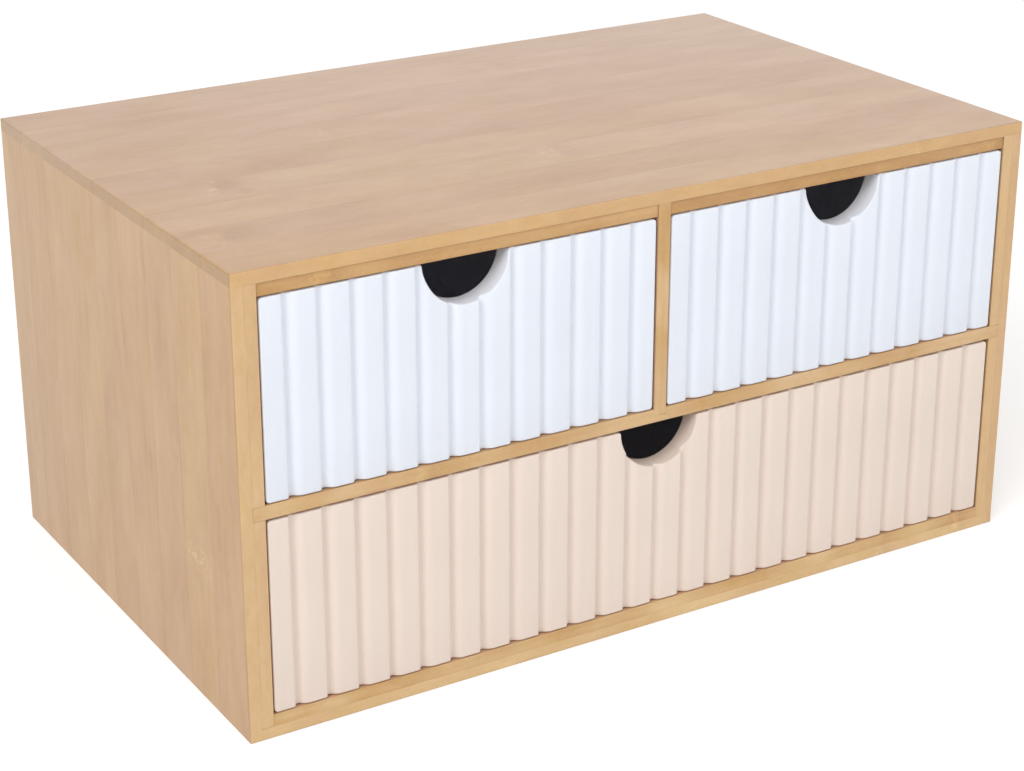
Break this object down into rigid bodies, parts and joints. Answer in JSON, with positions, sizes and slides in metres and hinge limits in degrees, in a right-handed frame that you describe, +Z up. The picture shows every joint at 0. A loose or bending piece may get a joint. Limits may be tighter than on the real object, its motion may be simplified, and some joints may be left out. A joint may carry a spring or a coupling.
{
  "type": "desktop drawer organizer",
  "caption": "Bamboo desktop case with small drawers side by side above a wide drawer; fluted painted fronts with half-round finger notches, and every drawer slides out.",
  "frame": {"origin": "middle of the case's footprint, on the surface it stands on", "axes": "+X to the right along the width, +Y to the back (the drawers open along -Y), +Z up"},
  "size_m": [0.35, 0.2188, 0.1785],
  "materials": {
    "bamboo": "clear satin lacquer over bamboo strips",
    "dark_bamboo": "clear satin lacquer over carbonised bamboo",
    "white_paint": "satin white paint over fibreboard",
    "blush_paint": "satin blush paint over fibreboard",
    "white_board": "matt white paint over thin board",
    "beech": "bare beech",
    "steel": "bright drawn wire"
  },
  "bodies": {
    "case": {"top_board": "bamboo", "bottom_board": "bamboo", "left_side_board": "bamboo", "right_side_board": "bamboo", "middle_shelf": "bamboo", "centre_divider": "bamboo", "left_top_rail": "dark_bamboo", "right_top_rail": "dark_bamboo", "back_panel": "bamboo", "back_panel_nails": "steel"},
    "left_drawer": {"left_drawer_front": "white_paint", "left_drawer_left_side": "white_board", "left_drawer_right_side": "white_board", "left_drawer_back": "white_board", "left_drawer_bottom": "white_board", "left_drawer_dowels": "beech", "left_drawer_nails": "steel"},
    "right_drawer": {"right_drawer_front": "white_paint", "right_drawer_left_side": "white_board", "right_drawer_right_side": "white_board", "right_drawer_back": "white_board", "right_drawer_bottom": "white_board", "right_drawer_dowels": "beech", "right_drawer_nails": "steel"},
    "wide_drawer": {"wide_drawer_front": "blush_paint", "wide_drawer_left_side": "white_board", "wide_drawer_right_side": "white_board", "wide_drawer_back": "white_board", "wide_drawer_bottom": "white_board", "wide_drawer_dowels": "beech", "wide_drawer_nails": "steel"}
  },
  "joints": [
    {"name": "left_drawer_slide", "type": "slide", "parent": "case", "child": "left_drawer", "axis": [0, -1, 0], "range_m": [0, 0.18]},
    {"name": "right_drawer_slide", "type": "slide", "parent": "case", "child": "right_drawer", "axis": [0, -1, 0], "range_m": [0, 0.18]},
    {"name": "wide_drawer_slide", "type": "slide", "parent": "case", "child": "wide_drawer", "axis": [0, -1, 0], "range_m": [0, 0.18]}
  ]
}
